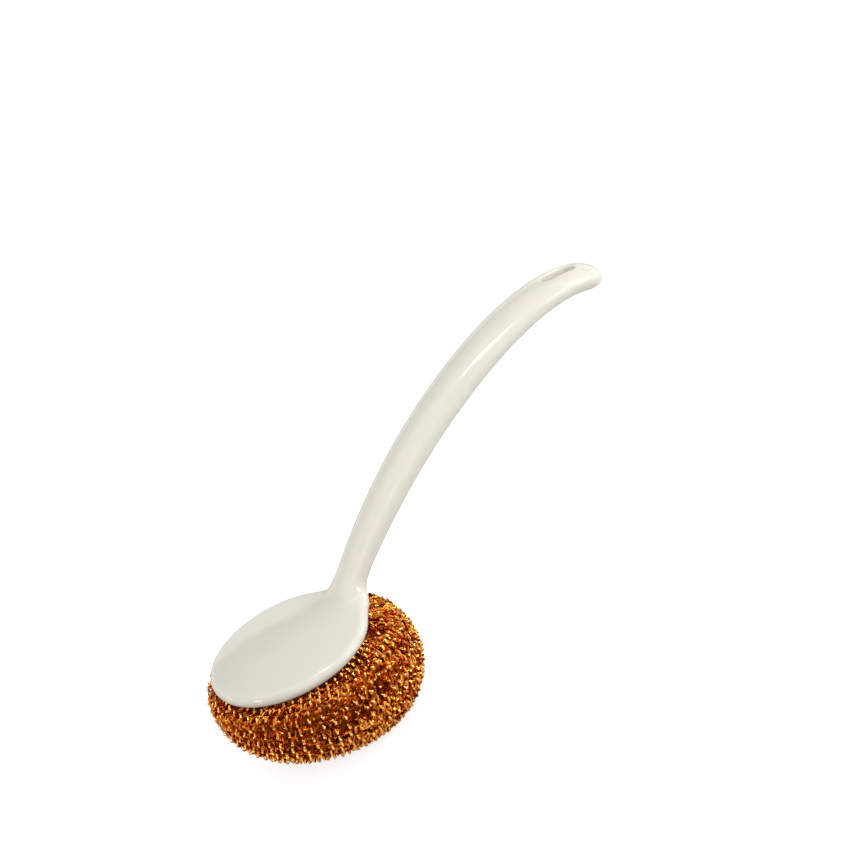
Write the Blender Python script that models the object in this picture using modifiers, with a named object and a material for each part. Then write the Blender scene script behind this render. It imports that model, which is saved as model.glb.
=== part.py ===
"""Steel scrubber with handle: an arched one-piece plastic handle with a domed round head, a ring-shaped
scourer of knitted golden wire under the head, and a snap-in retainer that holds the scourer.

Metres, +Z up along the head's axis, +X towards the handle's tip. The origin is the centre of the
retainer's flat underside. The scourer's flat base lies lower, so the retainer never touches a surface.
"""
import math

import bmesh
import bpy
import numpy as np

MM = 0.001
GAP = 0.3 * MM                      # clearance left between pieces that touch

# Head: a shallow round dome with a soft rim, hollow underneath, with a socket in its middle
HEAD_RADIUS = 32.2 * MM
RIM_HEIGHT = 33.2 * MM              # the head's widest circle above the retainer's underside
RIM_ROUND = 2.8 * MM
RIM_LOW_ANGLE = math.radians(-50)   # where the rim's round ends, below the widest circle
DOME_EDGE_SLOPE = math.radians(10)  # slope of the crown where it meets the rim's round
WALL = 2.0 * MM
SOCKET_RADIUS = 6.0 * MM
SOCKET_BOTTOM = 10.0 * MM
BORE_RADIUS = 3.3 * MM
BORE_TOP = 32.5 * MM

# Stem: an oval bar that leaves the head steeply, bends over, and bends faster near its tip
STEM_START = (29.2 * MM, 35.7 * MM)
STEM_LENGTH = 169.3 * MM
STEM_ROOT = 9.0 * MM                # length buried in the head
STEM_SLOPE = (38.6, -39.9, -32.9)   # degrees: at the head, steady bend, extra bend at the tip
TIP_BEND_POWER = 8
HALF_WIDTH = (6.05, 8.95, -4.9)     # millimetres: constant, linear and square terms along the stem
FLATNESS = (0.80, -0.30)            # thickness over width: at the head, change along the stem
FLARE_WIDTH = 4.6 * MM              # the neck widens into the head on both sides
FLARE_FADE = 3.2 * MM
FLARE_LIMIT = 14.0 * MM
ROOT_THIN = 2.0 * MM
TIP_ROUND = 9.0 * MM                # the tip's outline seen from above
TIP_EDGE = 4.0 * MM                 # the tip's rounding seen from the side
SECTION_POWER = 2.2                 # 2 is an ellipse, more is squarer

# Hang slot near the tip
SLOT_LENGTH = 16.0 * MM
SLOT_WIDTH = 6.0 * MM
SLOT_CENTRE = 152.5 * MM            # along the stem from the head

# Scourer: a soft ring that sits askew, pressed flat where it stands and under the head
RING_RADIUS = 20.0 * MM
TUBE_RADIUS = 22.1 * MM
RING_CENTRE = (3.0 * MM, -1.6 * MM, 18.7 * MM)
RING_TILT = (math.radians(2), math.radians(10))    # it hangs lower on the handle's side
ROWS = 24                           # raised rows round the tube, each a ridge and a valley
ROW_RELIEF = 0.45 * MM
BASE_HEIGHT = -5.4 * MM             # where the scourer is pressed flat
DIMPLE_WIDTH = 4.0 * MM             # how far the knit opens out below the retainer's disc
SHELF_DROP = 15.0                   # per metre: fall of the knit outwards from under the head's edge

# Retainer: a disc with a conical hub and a snap stem
DISC_RADIUS = 12.0 * MM
DISC_EDGE = 2.4 * MM
HUB_RADIUS = 5.0 * MM
STEM_RADIUS = 3.0 * MM
PLUG_TOP = 29.5 * MM
BEAD_HEIGHT = 23.5 * MM
BEAD_SIZE = 0.15 * MM
GROOVE_DEPTH = 0.45 * MM
DISH_DEPTH = 0.8 * MM

AROUND = 48                         # steps round a turned piece
STEM_SIDES = 28


def clear_scene():
    for scene_object in list(bpy.data.objects):
        bpy.data.objects.remove(scene_object, do_unlink=True)


def collection(name):
    group = bpy.data.collections.new(name)
    bpy.context.scene.collection.children.link(group)
    return group


def material(name, colour, roughness, metallic):
    made = bpy.data.materials.new(name)
    made.use_nodes = True
    shader = made.node_tree.nodes["Principled BSDF"]
    shader.inputs["Base Color"].default_value = (*colour, 1.0)
    shader.inputs["Roughness"].default_value = roughness
    shader.inputs["Metallic"].default_value = metallic
    return made


def mesh_object(name, mesh, group, surface=None):
    made = bpy.data.objects.new(name, mesh)
    if surface:
        mesh.materials.append(surface)
    group.objects.link(made)
    return made


def turned(name, outline, group, surface=None, steps=AROUND):
    """Turn an outline of (radius, height) points round Z. At +X it runs down the outer side."""
    mesh = bpy.data.meshes.new(name)
    points = [(radius, 0.0, height) for radius, height in outline]
    mesh.from_pydata(points, [(i, i + 1) for i in range(len(points) - 1)], [])
    made = mesh_object(name, mesh, group, surface)
    screw = made.modifiers.new("turn", "SCREW")
    screw.axis = "Z"
    screw.angle = math.tau
    screw.steps = steps
    screw.render_steps = steps
    screw.use_merge_vertices = True
    screw.merge_threshold = 0.01 * MM
    screw.use_smooth_shade = True
    return made


def applied(made):
    """Replace an object's mesh by its mesh with modifiers, with smooth faces and sharp edges."""
    view = made.evaluated_get(bpy.context.evaluated_depsgraph_get())
    mesh = bpy.data.meshes.new_from_object(view)
    made.modifiers.clear()
    made.data = mesh
    smooth(mesh)


def smooth(mesh):
    mesh.shade_smooth()
    mesh.set_sharp_from_angle(angle=math.radians(40))


def cut_by(made, cutter, operation="DIFFERENCE"):
    step = made.modifiers.new(operation.lower(), "BOOLEAN")
    step.operation = operation
    step.solver = "EXACT"
    step.object = cutter


def hide(cutter):
    cutter.hide_render = True
    cutter.display_type = "WIRE"


def arc(centre, radius, start, end, count):
    """Points on an arc, at equal angles from start to end."""
    angles = np.linspace(start, end, count)
    return [(centre[0] + radius * math.cos(a), centre[1] + radius * math.sin(a)) for a in angles]


def dome_side(inset, floor):
    """The head's outline from its crown to its rim, moved inwards by inset, ending on a floor height."""
    rim_centre = (HEAD_RADIUS - RIM_ROUND, RIM_HEIGHT)
    rim_radius = RIM_ROUND - inset
    slope = DOME_EDGE_SLOPE
    outer_join = rim_centre[0] + RIM_ROUND * math.sin(slope)
    crown_radius = outer_join / math.sin(slope)
    crown_centre = RIM_HEIGHT + RIM_ROUND * math.cos(slope) - crown_radius * math.cos(slope)
    up = math.pi / 2
    crown = arc((0.0, crown_centre), crown_radius - inset, up, up - slope, 8)
    crown[0] = (0.0, crown[0][1])
    rim = arc(rim_centre, rim_radius, up - slope, RIM_LOW_ANGLE, 9)[1:]
    last = rim[-1]
    return crown + rim + ([(last[0], floor)] if floor < last[1] else [])


def lip_height():
    """Height of the head's lower edge."""
    return RIM_HEIGHT + RIM_ROUND * math.sin(RIM_LOW_ANGLE)


def head_outline():
    """The whole section of the head: dome, rim, ceiling, socket and bore."""
    outer = dome_side(0.0, RIM_HEIGHT)
    inner = dome_side(WALL, RIM_HEIGHT)
    ceiling = inner[0][1]
    under = [point for point in reversed(inner) if point[0] > SOCKET_RADIUS + 2 * MM]
    low, high = BEAD_HEIGHT - 2 * MM, BEAD_HEIGHT + 2 * MM
    groove = BORE_RADIUS + GROOVE_DEPTH
    socket = [
        (SOCKET_RADIUS, ceiling),
        (SOCKET_RADIUS, SOCKET_BOTTOM + 0.6 * MM),
        (SOCKET_RADIUS - 0.6 * MM, SOCKET_BOTTOM),
        (BORE_RADIUS + 0.5 * MM, SOCKET_BOTTOM),
        (BORE_RADIUS, SOCKET_BOTTOM + 0.5 * MM),
        (BORE_RADIUS, low),
        (groove, low + 0.6 * MM),
        (groove, high - 0.6 * MM),
        (BORE_RADIUS, high),
        (BORE_RADIUS, BORE_TOP),
        (0.0, BORE_TOP),
    ]
    return outer + under + socket


def stem_stations():
    """Distances along the stem, closer together in the flared root and round the tip."""
    root = np.linspace(-STEM_ROOT, 8 * MM, 12)
    bar = np.linspace(8 * MM, STEM_LENGTH - TIP_ROUND, 30)[1:]
    turn = np.linspace(0.0, 0.48 * math.pi, 9)[1:]
    tip = STEM_LENGTH - TIP_ROUND + TIP_ROUND * np.sin(turn)
    return np.concatenate([root, bar, tip])


def stem_slope(along):
    """Slope in radians at distances along the stem: steady bend, faster at the tip, level in the root."""
    t = np.clip(along / STEM_LENGTH, 0.0, 1.0)
    slope = STEM_SLOPE[0] + STEM_SLOPE[1] * t + STEM_SLOPE[2] * t ** TIP_BEND_POWER
    rise = np.clip(1.0 + along / STEM_ROOT, 0.0, 1.0)
    return np.radians(slope) * rise


def stem_line(along):
    """Height and X of the stem's centre line: the slope added up in fine steps from the stem's start."""
    fine = np.linspace(-STEM_ROOT, STEM_LENGTH, 801)
    middle = stem_slope((fine[1:] + fine[:-1]) / 2)
    step = fine[1] - fine[0]
    x = np.concatenate([[0.0], np.cumsum(np.cos(middle)) * step])
    z = np.concatenate([[0.0], np.cumsum(np.sin(middle)) * step])
    x += STEM_START[0] - np.interp(0.0, fine, x)
    z += STEM_START[1] - np.interp(0.0, fine, z)
    return np.interp(along, fine, x), np.interp(along, fine, z)


def stem_size(along):
    """Half width and half thickness: slow swell along the bar, flare in the root, round tip."""
    t = np.clip(along / STEM_LENGTH, 0.0, 1.0)
    width = (HALF_WIDTH[0] + HALF_WIDTH[1] * t + HALF_WIDTH[2] * t ** 2) * MM
    thick = width * (FLATNESS[0] + FLATNESS[1] * t)
    thick -= ROOT_THIN * np.clip(-along / STEM_ROOT, 0.0, 1.0)
    width = np.minimum(width + FLARE_WIDTH * np.exp(-along / FLARE_FADE), FLARE_LIMIT)
    past_width = np.clip((along - STEM_LENGTH + TIP_ROUND) / TIP_ROUND, 0.0, 1.0)
    past_edge = np.clip((along - STEM_LENGTH + TIP_EDGE) / TIP_EDGE, 0.0, 1.0)
    return width * np.sqrt(1.0 - past_width ** 2), thick * np.sqrt(1.0 - 0.9 * past_edge ** 2)


def stem_mesh():
    """Loft the oval sections of the stem and close both ends."""
    along = stem_stations()
    x, z = stem_line(along)
    slope = stem_slope(along)
    width, thick = stem_size(along)
    angle = np.arange(STEM_SIDES) * math.tau / STEM_SIDES
    across = np.sign(np.cos(angle)) * np.abs(np.cos(angle)) ** (2 / SECTION_POWER)
    upward = np.sign(np.sin(angle)) * np.abs(np.sin(angle)) ** (2 / SECTION_POWER)
    built = bmesh.new()
    rings = []
    for i in range(len(along)):
        lift = thick[i] * upward
        ring = []
        for j in range(STEM_SIDES):
            point = (x[i] - math.sin(slope[i]) * lift[j], width[i] * across[j], z[i] + math.cos(slope[i]) * lift[j])
            ring.append(built.verts.new(point))
        rings.append(ring)
    for near, far in zip(rings, rings[1:]):
        for j in range(STEM_SIDES):
            k = (j + 1) % STEM_SIDES
            built.faces.new((near[j], near[k], far[k], far[j]))
    built.faces.new(rings[0])
    built.faces.new(rings[-1])
    bmesh.ops.recalc_face_normals(built, faces=built.faces)
    mesh = bpy.data.meshes.new("handle")
    built.to_mesh(mesh)
    built.free()
    return mesh


def slot_cutter(group):
    """A bar with round ends, through the stem at the hang slot, square to the stem there."""
    built = bmesh.new()
    bmesh.ops.create_cube(built, size=1.0)
    bmesh.ops.scale(built, vec=(SLOT_LENGTH, SLOT_WIDTH, 30 * MM), verts=built.verts)
    upright = [edge for edge in built.edges if abs(edge.verts[0].co.z - edge.verts[1].co.z) > MM]
    bmesh.ops.bevel(built, geom=upright, offset=0.49 * SLOT_WIDTH, segments=7, profile=0.5, affect="EDGES")
    mesh = bpy.data.meshes.new("slot_cutter")
    built.to_mesh(mesh)
    built.free()
    made = mesh_object("slot_cutter", mesh, group)
    x, z = stem_line(np.array([SLOT_CENTRE]))
    made.location = (x[0], 0.0, z[0])
    made.rotation_euler = (0.0, -stem_slope(np.array([SLOT_CENTRE]))[0], 0.0)
    hide(made)
    return made


def make_handle(parts, cutters, surface):
    """Stem, less what would hang in or under the head, joined to the head, with the hang slot cut."""
    trim = lip_height() + 0.05 * MM
    reach = HEAD_RADIUS + 2 * MM
    below = [(reach, trim), (reach, SOCKET_BOTTOM), (0.0, SOCKET_BOTTOM)]
    inner = dome_side(WALL / 2, RIM_HEIGHT)
    hollow = turned("hollow_cutter", inner + [(inner[-1][0], trim)] + below, cutters)
    head = turned("head_shell", head_outline(), cutters)
    handle = mesh_object("handle", stem_mesh(), parts, surface)
    cut_by(handle, hollow)
    cut_by(handle, head, "UNION")
    cut_by(handle, slot_cutter(cutters))
    hide(hollow)
    hide(head)
    bpy.context.view_layer.update()
    applied(handle)
    return handle


def keep_clear_outline():
    """The space that the scourer leaves free: retainer, socket, head, and everything above the knit."""
    inner = dome_side(WALL + GAP, RIM_HEIGHT)
    above = [(0.0, 60 * MM), (60 * MM, 60 * MM)]
    lip_low = lip_height() - GAP
    lip_out = HEAD_RADIUS - RIM_ROUND + RIM_ROUND * math.cos(RIM_LOW_ANGLE) + GAP
    reach = np.linspace(60 * MM, lip_out, 9)
    shelf = [(out, lip_low - SHELF_DROP * (out - lip_out) ** 2) for out in reach]
    lip_in = inner[-1][0]
    under = [(lip_in, lip_low)] + [point for point in reversed(inner) if point[0] > SOCKET_RADIUS + 2 * MM]
    core = [
        (SOCKET_RADIUS + GAP, inner[0][1]),
        (SOCKET_RADIUS + GAP, SOCKET_BOTTOM),
        (HUB_RADIUS + GAP, SOCKET_BOTTOM - GAP),
        (DISC_RADIUS + GAP, DISC_EDGE + GAP),
        (DISC_RADIUS + GAP, 0.0),
        (DISC_RADIUS + DIMPLE_WIDTH, 2 * BASE_HEIGHT),
        (0.0, 2 * BASE_HEIGHT),
    ]
    return above + shelf + under + core


def floor_cutter(group):
    """A box whose top face is where the scourer is pressed flat."""
    size = 0.2
    bpy.ops.mesh.primitive_cube_add(size=size, location=(0.0, 0.0, BASE_HEIGHT - size / 2))
    made = bpy.context.object
    made.name = "floor_cutter"
    for owner in list(made.users_collection):
        owner.objects.unlink(made)
    group.objects.link(made)
    hide(made)
    return made


def make_scourer(parts, cutters, surface):
    """A ribbed ring, tilted, cut flat at the base and hollowed where the head and retainer press in."""
    pole = math.acos(-RING_RADIUS / TUBE_RADIUS)
    outline = arc((RING_RADIUS, 0.0), TUBE_RADIUS, pole, -pole, 2 * ROWS + 1)
    for i in range(1, 2 * ROWS):
        relief = ROW_RELIEF if i % 2 else -ROW_RELIEF
        turn = pole - 2 * pole * i / (2 * ROWS)
        outline[i] = (outline[i][0] + relief * math.cos(turn), outline[i][1] + relief * math.sin(turn))
    outline[0] = (0.0, outline[0][1])
    outline[-1] = (0.0, outline[-1][1])
    scourer = turned("scourer", outline, parts, surface)
    applied(scourer)
    scourer.location = RING_CENTRE
    scourer.rotation_euler = (*RING_TILT, 0.0)
    clear = turned("clearance_cutter", keep_clear_outline(), cutters)
    hide(clear)
    cut_by(scourer, clear)
    cut_by(scourer, floor_cutter(cutters))
    return scourer


def make_retainer(parts, surface):
    """A disc with a dished face, a conical hub that ends in a shoulder, and a stem with a snap bead."""
    shoulder = SOCKET_BOTTOM - GAP
    outline = [
        (0.0, PLUG_TOP),
        (STEM_RADIUS - 0.8 * MM, PLUG_TOP),
        (STEM_RADIUS, PLUG_TOP - 1.4 * MM),
        (STEM_RADIUS, BEAD_HEIGHT + 1.0 * MM),
        (STEM_RADIUS + BEAD_SIZE, BEAD_HEIGHT),
        (STEM_RADIUS, BEAD_HEIGHT - 1.0 * MM),
        (STEM_RADIUS, shoulder),
        (HUB_RADIUS - 0.4 * MM, shoulder),
        (HUB_RADIUS, shoulder - 0.4 * MM),
        (DISC_RADIUS - 0.5 * MM, DISC_EDGE),
        (DISC_RADIUS, DISC_EDGE - 0.5 * MM),
        (DISC_RADIUS, 0.7 * MM),
        (DISC_RADIUS - 0.7 * MM, 0.0),
        (8.0 * MM, 0.0),
        (7.2 * MM, DISH_DEPTH),
        (5.8 * MM, DISH_DEPTH),
        (5.0 * MM, 0.0),
        (0.0, 0.0),
    ]
    retainer = turned("retainer", outline, parts, surface, steps=40)
    applied(retainer)
    return retainer


def main():
    clear_scene()
    parts = collection("steel_scrubber_with_handle")
    cutters = collection("cutters")
    cream = material("cream_plastic", (0.82, 0.79, 0.70), 0.22, 0.0)
    wire = material("golden_wire", (0.78, 0.42, 0.09), 0.25, 1.0)
    make_handle(parts, cutters, cream)
    refill = bpy.data.objects.new("refill", None)
    parts.objects.link(refill)
    make_scourer(parts, cutters, wire).parent = refill
    make_retainer(parts, cream).parent = refill


main()
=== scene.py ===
"""Looks of a dish scrubber with handle.

A glossy off-white plastic handle ends in a round domed head. Under the head sits a soft ring of knitted
flat wire in copper gold, held by a retainer. Laid out as a Blender add-on and run as a script: the
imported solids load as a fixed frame, each piece has its own operator, and the stage has another.
All lengths are metres, +Z up along the head's axis, +X towards the handle's tip.
"""
import math

import bpy
import numpy as np
from bpy.props import FloatProperty, FloatVectorProperty, IntProperty, PointerProperty
from mathutils import Matrix, Vector


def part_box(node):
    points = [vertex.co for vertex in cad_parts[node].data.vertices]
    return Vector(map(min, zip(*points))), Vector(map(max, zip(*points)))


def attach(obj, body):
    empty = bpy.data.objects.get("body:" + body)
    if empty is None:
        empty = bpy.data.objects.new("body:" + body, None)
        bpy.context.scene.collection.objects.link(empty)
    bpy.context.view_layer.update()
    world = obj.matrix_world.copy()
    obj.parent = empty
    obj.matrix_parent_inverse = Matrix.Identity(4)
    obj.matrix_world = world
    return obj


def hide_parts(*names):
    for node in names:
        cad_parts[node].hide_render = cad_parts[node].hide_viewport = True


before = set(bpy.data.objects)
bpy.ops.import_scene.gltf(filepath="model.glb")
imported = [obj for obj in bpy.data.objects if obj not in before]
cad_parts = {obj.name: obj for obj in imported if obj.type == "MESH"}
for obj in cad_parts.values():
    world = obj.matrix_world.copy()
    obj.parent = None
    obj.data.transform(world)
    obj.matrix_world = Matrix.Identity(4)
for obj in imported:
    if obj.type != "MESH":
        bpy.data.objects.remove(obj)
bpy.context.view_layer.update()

bl_info = {
    "name": "Dish scrubber with handle",
    "version": (1, 0, 0),
    "blender": (4, 5, 0),
    "location": "3D View > Sidebar > Scrubber",
    "description": "Makes a scrubber's plastic handle, knitted wire scourer and retainer, and a white studio",
    "category": "Object",
}

MM = 0.001
BASE_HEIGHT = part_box("scourer")[0].z
GAP = 0.3 * MM

# Head, the same round dome as the solid
HEAD_RADIUS = 32.2 * MM
RIM_HEIGHT = 33.2 * MM
RIM_ROUND = 2.8 * MM
RIM_LOW = math.radians(50)
DOME_EDGE_SLOPE = math.radians(10)
WALL = 2.0 * MM
LIP_HEIGHT = RIM_HEIGHT - RIM_ROUND * math.sin(RIM_LOW)
LIP_CUT = 4.0 * MM
CORE_RADIUS = HEAD_RADIUS - RIM_ROUND
CROWN_RADIUS = (CORE_RADIUS + RIM_ROUND * math.sin(DOME_EDGE_SLOPE)) / math.sin(DOME_EDGE_SLOPE)
CROWN_CENTRE = RIM_HEIGHT + (RIM_ROUND - CROWN_RADIUS) * math.cos(DOME_EDGE_SLOPE)

# Socket under the head, with a groove in its bore for the snap
SOCKET_RADIUS = 6.0 * MM
SOCKET_BOTTOM = 10.0 * MM
SOCKET_TOP = 37.2 * MM
SOCKET_EDGE = 1.0 * MM
SOCKET_FILLET = 1.2 * MM
BORE_RADIUS = 3.3 * MM
BORE_TOP = 32.5 * MM
BORE_CORNER = 0.4 * MM
BORE_EDGE = 0.5 * MM
GROOVE_HEIGHT = 23.5 * MM
GROOVE_DEPTH = 0.45 * MM
GROOVE_HALF = 1.6 * MM

# Stem: slope in degrees and half width in millimetres are sums of terms along its length
STEM_START = (29.2 * MM, 35.7 * MM)
STEM_LENGTH = 169.3 * MM
STEM_ROOT = 12.0 * MM
ROOT_ROUND = 2.0 * MM
STEM_SLOPE = (38.6, -39.9, -32.9)
TIP_BEND_POWER = 8
HALF_WIDTH = (6.05, 8.95, -4.9)
FLATNESS = (0.80, -0.30)
SECTION_POWER = 2.2
LEAST_STEEPNESS = 40.0
STEM_POINTS = 801
STEM_MARKS = 257
MARK_BATCH = 20000
TIP_REACH = 1.4 * MM
TIP_ROUND = 9.0 * MM
TIP_EDGE = 4.0 * MM
TIP_EDGE_SHARE = 0.8
SLOT_CENTRE = 152.5 * MM
SLOT_REACH = 15.0 * MM

# Neck: how the stem grows at the head, and how far it flows into the underside
FLARE_WIDTH = 4.4 * MM
FLARE_FADE = 5.0 * MM
FLARE_CHANGE = 2.0 * MM
FILLET_DEPTH = 2.8 * MM
FILLET_FADE = 8.0 * MM
ROOT_THIN = 3.4 * MM
NECK_UNDERSIDE = 37.5 * MM
NECK_CHANGE = 2.5 * MM
NECK_EXTRA = 0.9

# Retainer
DISC_RADIUS = 12.0 * MM
DISC_THICKNESS = 2.4 * MM
HUB_RADIUS = 5.0 * MM
RETAINER_STEPS = 128

# Scourer: a tilted ring, and what presses its tube
RING_RADIUS = 20.0 * MM
RING_CENTRE = (3.0 * MM, -1.6 * MM, 18.7 * MM)
RING_TILT = (math.radians(2), math.radians(10))
TUBE_ENDS = (0.97 * math.pi, -0.90 * math.pi)
FAR_SIDE = math.radians(142)
FAR_SPREAD = math.radians(55)
FAR_SQUEEZE = 1.4 * MM
SHELF_DROP = 15.0
LIP_INNER = CORE_RADIUS + 0.5 * MM
LIP_OUTER = CORE_RADIUS + RIM_ROUND * math.cos(RIM_LOW)
LIP_BLEND = 3.0 * MM
KNIT_HALF = 0.9 * MM
KNIT_LIFT = 0.75 * MM
EYE_ROOM = 0.8 * MM
EYE_FLARE = (6.0 * MM, 2.5 * MM)
HEAD_CORNER = 3.5 * MM
GROUND_CORNER = 2.5 * MM
EYE_CORNER = 1.5 * MM
WIRE_CORNER = 0.8 * MM
LEAST_RADIUS = 0.5 * MM
TUBE_POINTS = 600
MIDDLE_DEPTH = 1.4 * MM
MIDDLE_SINK = 1.3 * MM
INNER_DEPTH = 2.2 * MM
CORE_DEPTH = 3.5 * MM

# Where the knit is stretched and calm, and where it is crowded
CALM_SIDE = math.radians(195)
CALM_BELT = math.radians(-15)
CALM_SPREAD = math.radians(50)
CALM_BELT_HALF = 0.13
CALM_SIDE_SHARE = 0.85
CALM_BELT_SHARE = 0.7
CROWDING = 0.25

# Stitch: swings in stitches and rows, spans in radians of its swing, lifts in millimetres; a pair holds
# the value on stretched knit and what slack knit adds to it
SIDE_SWING = 0.22
SIDE_LEAN = 0.06
ROW_SWING = 0.66
BEAD_DENSITY = 0.6
BEAD_SPAN = (0.28, 0.14)
BEAD_LIFT = 1.6
LEG_SPAN = 0.6
LEG_LIFT = (0.3, 0.6)
STITCH_DIP = 0.9
EDGE_TURN = math.radians(80)
TURN_SPAN = (0.40, 0.15)

# How uneven slack knit is. Waves of drift: size in stitches, number in a turn, and slant. Wanders are in
# stitches and rows for the place, metres for the depth and radians for the turn. Their pairs hold what
# changes with every stitch and what changes several times in a stitch.
DRIFT_WAVES = ((0.30, 7, 2.1), (0.22, 11, -1.4))
PLACE_WANDER = 0.22
DEPTH_WANDER = (0.22 * MM, 0.10 * MM)
TURN_WANDER = (0.9, 0.7)
FINE_KNOTS = 5

# Wire: corners of its section in half widths and half thicknesses, the spacing of stitches from which it has
# its full width, and the least share of it where they are closer
WIRE_SECTION = ((1.0, 0.0), (0.5, 1.0), (-0.5, 1.0), (-1.0, 0.0), (-0.5, -1.0), (0.5, -1.0))
FULL_SPACING = 2.9 * MM
NARROWEST = 0.4

# Round white floor with its wall: sizes, and how strongly it shows to the camera and in reflections
SWEEP_RADIUS = 2.6
SWEEP_BEND = 0.5
SWEEP_HEIGHT = 1.0
SWEEP_INNER = 0.3
SWEEP_STEPS = 96
BEND_STEPS = 13
FLOOR_GLOW = 0.75
FLOOR_MIRRORED = 0.2
WALL_MIRRORED = 1.0
WALL_START = 0.25

# Camera: angles in degrees, where the head sits before it, and its lens at its usual distance
CAMERA_LIFT = 27.7
CAMERA_LEAN = 26.3
CAMERA_HEADING = 25.0
CAMERA_SHIFT = (53.28 * MM, 81.74 * MM)
CAMERA_DISTANCE = 1.2
CAMERA_LENS = 133.46

# Lamps: what they look at, then the soft ones (name, heading and height in degrees, distance, width, length)
# and the light boxes at the sides (heading and height in degrees, width, height, brightness)
LIT_POINT = (50 * MM, 0.0, 40 * MM)
LAMPS = [("overhead", -62, 68, 1.0, 0.12, 0.50), ("front", -116, 34, 1.4, 0.8, 0.8),
         ("top", 150, 72, 1.3, 1.2, 1.2)]
BOXES = [(178, 16, 0.22, 0.30, 11), (-4, 12, 0.20, 0.26, 14), (-31, 34, 0.13, 0.13, 22),
         (135, 16, 0.12, 0.16, 12), (-46, 12, 0.50, 0.46, 5.0)]
BOX_DISTANCE = 1.1


class HandleSettings(bpy.types.PropertyGroup):
    """Sizes and finish of the plastic handle."""
    neck_blend: FloatProperty(
        name="Neck blend", description="Width over which the stem flows into the head",
        default=0.0040, unit="LENGTH")
    lip_round: FloatProperty(
        name="Edge rounding", description="Softness of the head's lower edge", default=0.0008, unit="LENGTH")
    slot_length: FloatProperty(
        name="Slot length", description="Length of the hang slot", default=0.016, unit="LENGTH")
    slot_width: FloatProperty(
        name="Slot width", description="Width of the hang slot", default=0.006, unit="LENGTH")
    slot_round: FloatProperty(
        name="Slot rounding", description="Softness of the hang slot's edges", default=0.001, unit="LENGTH")
    step: FloatProperty(
        name="Face size", description="Size of the faces of the handle's surface",
        default=0.0006, precision=5, unit="LENGTH")
    colour: FloatVectorProperty(
        name="Plastic colour", description="Warm off-white of the moulded plastic",
        default=(0.84, 0.81, 0.71), subtype="COLOR", size=3)
    roughness: FloatProperty(
        name="Plastic roughness", description="Gloss of the moulded plastic", default=0.09, subtype="FACTOR")


class ScourerSettings(bpy.types.PropertyGroup):
    """Counts, sizes and finish of the knitted wire ring."""
    tube_radius: FloatProperty(
        name="Tube radius", description="Radius of the ring's tube to the middle of the knit",
        default=0.0222, precision=4, unit="LENGTH")
    wales: IntProperty(name="Wales", description="Stitches in one turn round the ring", default=70)
    rows: IntProperty(name="Rows", description="Rows of stitches in the outer layer", default=32)
    wire_width: FloatProperty(
        name="Wire width", description="Width of the flat wire", default=0.00095, precision=5, unit="LENGTH")
    wire_thickness: FloatProperty(
        name="Wire thickness", description="Thickness of the flat wire",
        default=0.00013, precision=5, unit="LENGTH")
    disorder: FloatProperty(
        name="Disorder", description="How uneven the stitches are", default=1.0, subtype="FACTOR")
    colour: FloatVectorProperty(
        name="Wire colour", description="Copper gold of the wire",
        default=(0.82, 0.34, 0.06), subtype="COLOR", size=3)
    # Paler gold painted on the beads where a stitch stands out: a painted highlight.
    bead_highlight_colour: FloatVectorProperty(
        name="Rubbed wire colour", description="Paler gold where a stitch stands out and is rubbed bright",
        default=(0.95, 0.50, 0.12), subtype="COLOR", size=3)
    deep_colour: FloatVectorProperty(
        name="Deep wire colour", description="Redder tint of some of the wire",
        default=(0.74, 0.22, 0.024), subtype="COLOR", size=3)


class RetainerSettings(bpy.types.PropertyGroup):
    """Sizes of the retainer under the scourer."""
    plug_top: FloatProperty(
        name="Plug height", description="Height of the snap stem's end", default=0.0295, unit="LENGTH")
    dish_depth: FloatProperty(
        name="Dish depth", description="Depth of the groove in the disc's face",
        default=0.0008, precision=4, unit="LENGTH")


class StageSettings(bpy.types.PropertyGroup):
    """Floor, lamps and camera."""
    overhead_power: FloatProperty(
        name="Overhead lamp", description="Power of the long lamp overhead", default=2.8, unit="POWER")
    front_power: FloatProperty(
        name="Front lamp", description="Power of the large soft lamp over the camera",
        default=3.6, unit="POWER")
    top_power: FloatProperty(
        name="Top lamp", description="Power of the large soft lamp on top", default=3.9, unit="POWER")
    box_level: FloatProperty(
        name="Side boxes", description="How bright the light boxes are, against their usual level",
        default=1.0, subtype="FACTOR")
    world_level: FloatProperty(
        name="Room light", description="Strength of the even light", default=0.18, subtype="FACTOR")
    floor_colour: FloatVectorProperty(
        name="Floor colour", description="Colour of the floor",
        default=(0.65, 0.65, 0.65), subtype="COLOR", size=3)
    camera_distance: FloatProperty(
        name="Camera distance", description="Camera to the middle of the head",
        default=CAMERA_DISTANCE, unit="LENGTH")


class ScrubberSettings(bpy.types.PropertyGroup):
    """Everything that the panel shows."""
    handle: PointerProperty(type=HandleSettings)
    scourer: PointerProperty(type=ScourerSettings)
    retainer: PointerProperty(type=RetainerSettings)
    stage: PointerProperty(type=StageSettings)


# Meshes

def piece(name, points, faces, surface, smooth_angle=40):
    """A mesh object at the origin, shaded smooth, with edges sharper than the angle kept sharp."""
    mesh = bpy.data.meshes.new(name)
    mesh.from_pydata(points.tolist(), [], [list(face) for face in faces])
    mesh.validate()
    mesh.materials.append(surface)
    mesh.shade_smooth()
    mesh.set_sharp_from_angle(angle=math.radians(smooth_angle))
    made = bpy.data.objects.new(name, mesh)
    bpy.context.scene.collection.objects.link(made)
    return made


def carried(made, body, slot, *nodes):
    """Let a piece ride on a body and hide the solids that it stands for. The slot is not used."""
    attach(made, body)
    if nodes:
        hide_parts(*nodes)


def attribute(made, name, values):
    """A number on every vertex, for the material to read."""
    layer = made.data.attributes.new(name, "FLOAT", "POINT")
    layer.data.foreach_set("value", np.asarray(values, np.float32))


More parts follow.
